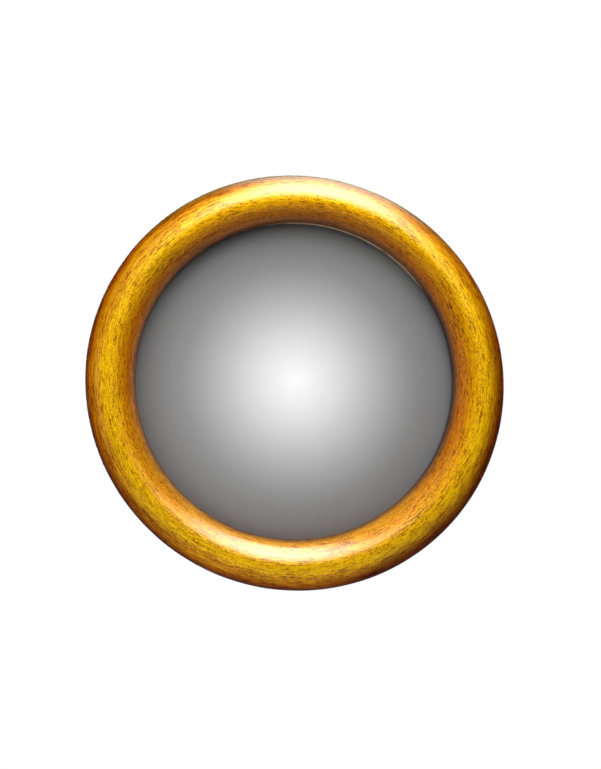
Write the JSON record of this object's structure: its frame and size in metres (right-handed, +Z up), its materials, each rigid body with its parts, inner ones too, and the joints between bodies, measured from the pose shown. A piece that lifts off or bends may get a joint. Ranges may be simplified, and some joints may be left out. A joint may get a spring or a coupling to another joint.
{
  "type": "convex wall mirror",
  "caption": "Round wall mirror with a domed glass in a thick half-round gilded frame, hung by a ring on its back.",
  "frame": {"origin": "where the mirror's axis meets the wall, in the plane of the bumper pads' faces", "axes": "+Y from the glass towards the wall, along the mirror's axis; +Z up; the glass faces -Y"},
  "size_m": [0.4, 0.045, 0.4],
  "materials": {
    "frame_wood": "matte",
    "spline_wood": "matte",
    "gilding": "satin",
    "mirror_glass": "polished",
    "felt": "matte",
    "cork": "matte",
    "hardboard": "matte",
    "button_brass": "satin",
    "screw_brass": "satin",
    "plated_steel": "satin",
    "ring_steel": "satin",
    "screw_steel": "satin",
    "pad_rubber": "matte"
  },
  "bodies": {
    "mirror": {"frame_segment_top": "frame_wood", "frame_segment_upper_right": "frame_wood", "frame_segment_right": "frame_wood", "frame_segment_lower_right": "frame_wood", "frame_segment_bottom": "frame_wood", "frame_segment_lower_left": "frame_wood", "frame_segment_left": "frame_wood", "frame_segment_upper_left": "frame_wood", "joint_splines": "spline_wood", "gilded_coat": "gilding", "mirror_glass": "mirror_glass", "glass_cushion": "felt", "packing_ring": "cork", "backing_board": "hardboard", "turn_button_screws": "screw_brass", "hanger_strap": "plated_steel", "hanger_screws": "screw_steel", "bumper_pad_upper_right": "pad_rubber", "bumper_pad_lower_right": "pad_rubber", "bumper_pad_lower_left": "pad_rubber", "bumper_pad_upper_left": "pad_rubber"},
    "hanger_ring": {"hanger_ring": "ring_steel"},
    "turn_button_1": {"turn_button_1": "button_brass"},
    "turn_button_2": {"turn_button_2": "button_brass"},
    "turn_button_3": {"turn_button_3": "button_brass"},
    "turn_button_4": {"turn_button_4": "button_brass"},
    "turn_button_5": {"turn_button_5": "button_brass"},
    "turn_button_6": {"turn_button_6": "button_brass"}
  },
  "joints": [
    {"name": "hanger_ring_swing", "type": "hinge", "parent": "mirror", "child": "hanger_ring", "pos_m": [0, -0.00249, 0.181], "axis": [-1, 0, 0], "range_deg": [-4, 178]},
    {"name": "turn_button_1_turn", "type": "hinge", "parent": "mirror", "child": "turn_button_1", "pos_m": [0.085, -0.005, 0.14722], "axis": [0, 1, 0], "continuous": true},
    {"name": "turn_button_2_turn", "type": "hinge", "parent": "mirror", "child": "turn_button_2", "pos_m": [0.17, -0.005, 0], "axis": [0, 1, 0], "continuous": true},
    {"name": "turn_button_3_turn", "type": "hinge", "parent": "mirror", "child": "turn_button_3", "pos_m": [0.085, -0.005, -0.14722], "axis": [0, 1, 0], "continuous": true},
    {"name": "turn_button_4_turn", "type": "hinge", "parent": "mirror", "child": "turn_button_4", "pos_m": [-0.085, -0.005, -0.14722], "axis": [0, 1, 0], "continuous": true},
    {"name": "turn_button_5_turn", "type": "hinge", "parent": "mirror", "child": "turn_button_5", "pos_m": [-0.17, -0.005, 0], "axis": [0, 1, 0], "continuous": true},
    {"name": "turn_button_6_turn", "type": "hinge", "parent": "mirror", "child": "turn_button_6", "pos_m": [-0.085, -0.005, 0.14722], "axis": [0, 1, 0], "continuous": true}
  ]
}
